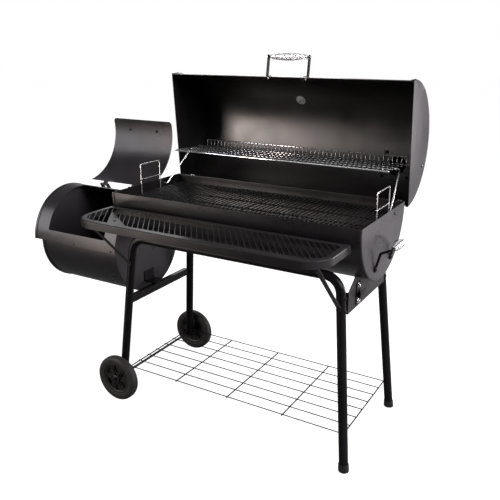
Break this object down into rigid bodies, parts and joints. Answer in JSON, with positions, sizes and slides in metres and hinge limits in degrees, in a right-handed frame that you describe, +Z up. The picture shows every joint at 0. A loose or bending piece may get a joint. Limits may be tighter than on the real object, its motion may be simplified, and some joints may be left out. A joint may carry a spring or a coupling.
{
  "type": "barrel charcoal grill",
  "caption": "Barrel charcoal grill with offset side firebox, hinged half-round lid, warming rack, slatted front shelf, wire bottom shelf and wheels at one end.",
  "frame": {"origin": "on the floor, under the middle of the grill's bounding box", "axes": "+X along the barrel away from the firebox, +Y to the back where the lid hinges are, +Z up"},
  "size_m": [1.5313, 1.0492, 1.3573],
  "materials": {
    "shell": "satin dark grey heat-resistant paint",
    "frame": "satin black paint",
    "iron": "matt black porcelain coating",
    "chrome": "bright chrome plating",
    "rubber": "matt black wheel tread",
    "plastic": "matt black moulded plastic"
  },
  "bodies": {
    "base": {"front_leg_frame": "frame", "rear_leg_frame": "frame", "foot_cap_front": "plastic", "foot_cap_rear": "plastic", "right_saddle_plate": "frame", "bottle_opener": "frame", "left_cross_beam": "frame", "firebox_stay": "frame", "barrel_standoff_front": "frame", "barrel_standoff_rear": "frame", "axle": "frame", "bottom_shelf": "frame", "barrel_shell": "shell", "barrel_end_left": "shell", "barrel_end_right": "shell", "side_handle_rod": "frame", "side_handle_coil": "chrome", "front_shelf": "frame", "shelf_strut_left": "frame", "shelf_strut_right": "frame", "barrel_hinge_left": "frame", "barrel_hinge_right": "frame", "firebox_shell_lower": "shell", "firebox_shell_upper": "shell", "firebox_end_right": "shell", "firebox_end_left": "shell", "firebox_cap_left": "shell", "firebox_grate": "iron", "firebox_hinge_left": "frame", "firebox_hinge_right": "frame"},
    "lid": {"lid_shell": "shell", "lid_end_left": "shell", "lid_end_right": "shell", "lid_hinge_left": "frame", "lid_hinge_right": "frame", "lid_handle_arm_left": "frame", "lid_handle_arm_right": "frame", "lid_handle_coil": "chrome", "thermometer": "chrome", "thermometer_nut": "chrome", "chimney_pipe": "shell"},
    "chimney_damper": {"chimney_cap": "shell"},
    "rack_legs": {"rack_leg_left": "chrome", "rack_leg_right": "chrome"},
    "rack": {"warming_rack": "chrome"},
    "firebox_lid": {"firebox_door": "shell", "firebox_handle_rod": "frame", "firebox_handle_coil": "chrome"},
    "damper": {"air_damper": "frame"},
    "tray": {"charcoal_tray": "iron", "tray_handle_left": "chrome", "tray_handle_right": "chrome"},
    "grate_left": {"cooking_grate_left": "iron"},
    "grate_right": {"cooking_grate_right": "iron"},
    "wheel_front": {"wheel_front_hub": "plastic", "wheel_front_tyre": "rubber"},
    "wheel_rear": {"wheel_rear_hub": "plastic", "wheel_rear_tyre": "rubber"}
  },
  "joints": [
    {"name": "lid_hinge", "type": "hinge", "parent": "base", "child": "lid", "pos_m": [0.1966, 0.1274, 0.826], "axis": [1, 0, 0], "range_deg": [0, 85]},
    {"name": "rack_leg_swing", "type": "hinge", "parent": "base", "child": "rack_legs", "pos_m": [0.1966, 0.0114, 0.829], "axis": [1, 0, 0], "range_deg": [0, 85]},
    {"name": "rack_level", "type": "hinge", "parent": "rack_legs", "child": "rack", "pos_m": [0.1966, 0.1594, 0.955], "axis": [1, 0, 0], "range_deg": [-85, 0]},
    {"name": "chimney_damper_swing", "type": "hinge", "parent": "lid", "child": "chimney_damper", "pos_m": [0.6016, 0.51484, 0.99943], "axis": [0, 0.9962, 0.0872], "range_deg": [0, 100]},
    {"name": "firebox_door_hinge", "type": "hinge", "parent": "base", "child": "firebox_lid", "pos_m": [-0.5314, -0.0206, 0.794], "axis": [1, 0, 0], "range_deg": [0, 154]},
    {"name": "air_damper_turn", "type": "hinge", "parent": "base", "child": "damper", "pos_m": [-0.7269, -0.0946, 0.5], "axis": [1, 0, 0], "range_deg": [0, 60]},
    {"name": "charcoal_tray_lift", "type": "slide", "parent": "base", "child": "tray", "axis": [0, 0, 1], "range_m": [0, 0.04]},
    {"name": "grate_left_lift", "type": "slide", "parent": "base", "child": "grate_left", "axis": [0, 0, 1], "range_m": [0, 0.025]},
    {"name": "grate_right_lift", "type": "slide", "parent": "base", "child": "grate_right", "axis": [0, 0, 1], "range_m": [0, 0.025]},
    {"name": "wheel_front_spin", "type": "hinge", "parent": "base", "child": "wheel_front", "pos_m": [-0.28503, -0.3596, 0.093], "axis": [0, 1, 0], "continuous": true},
    {"name": "wheel_rear_spin", "type": "hinge", "parent": "base", "child": "wheel_rear", "pos_m": [-0.28503, 0.1704, 0.093], "axis": [0, 1, 0], "continuous": true}
  ],
  "couplings": [
    {"joint": "rack_leg_swing", "follows": "lid_hinge", "ratio": 1},
    {"joint": "rack_level", "follows": "lid_hinge", "ratio": -1}
  ]
}
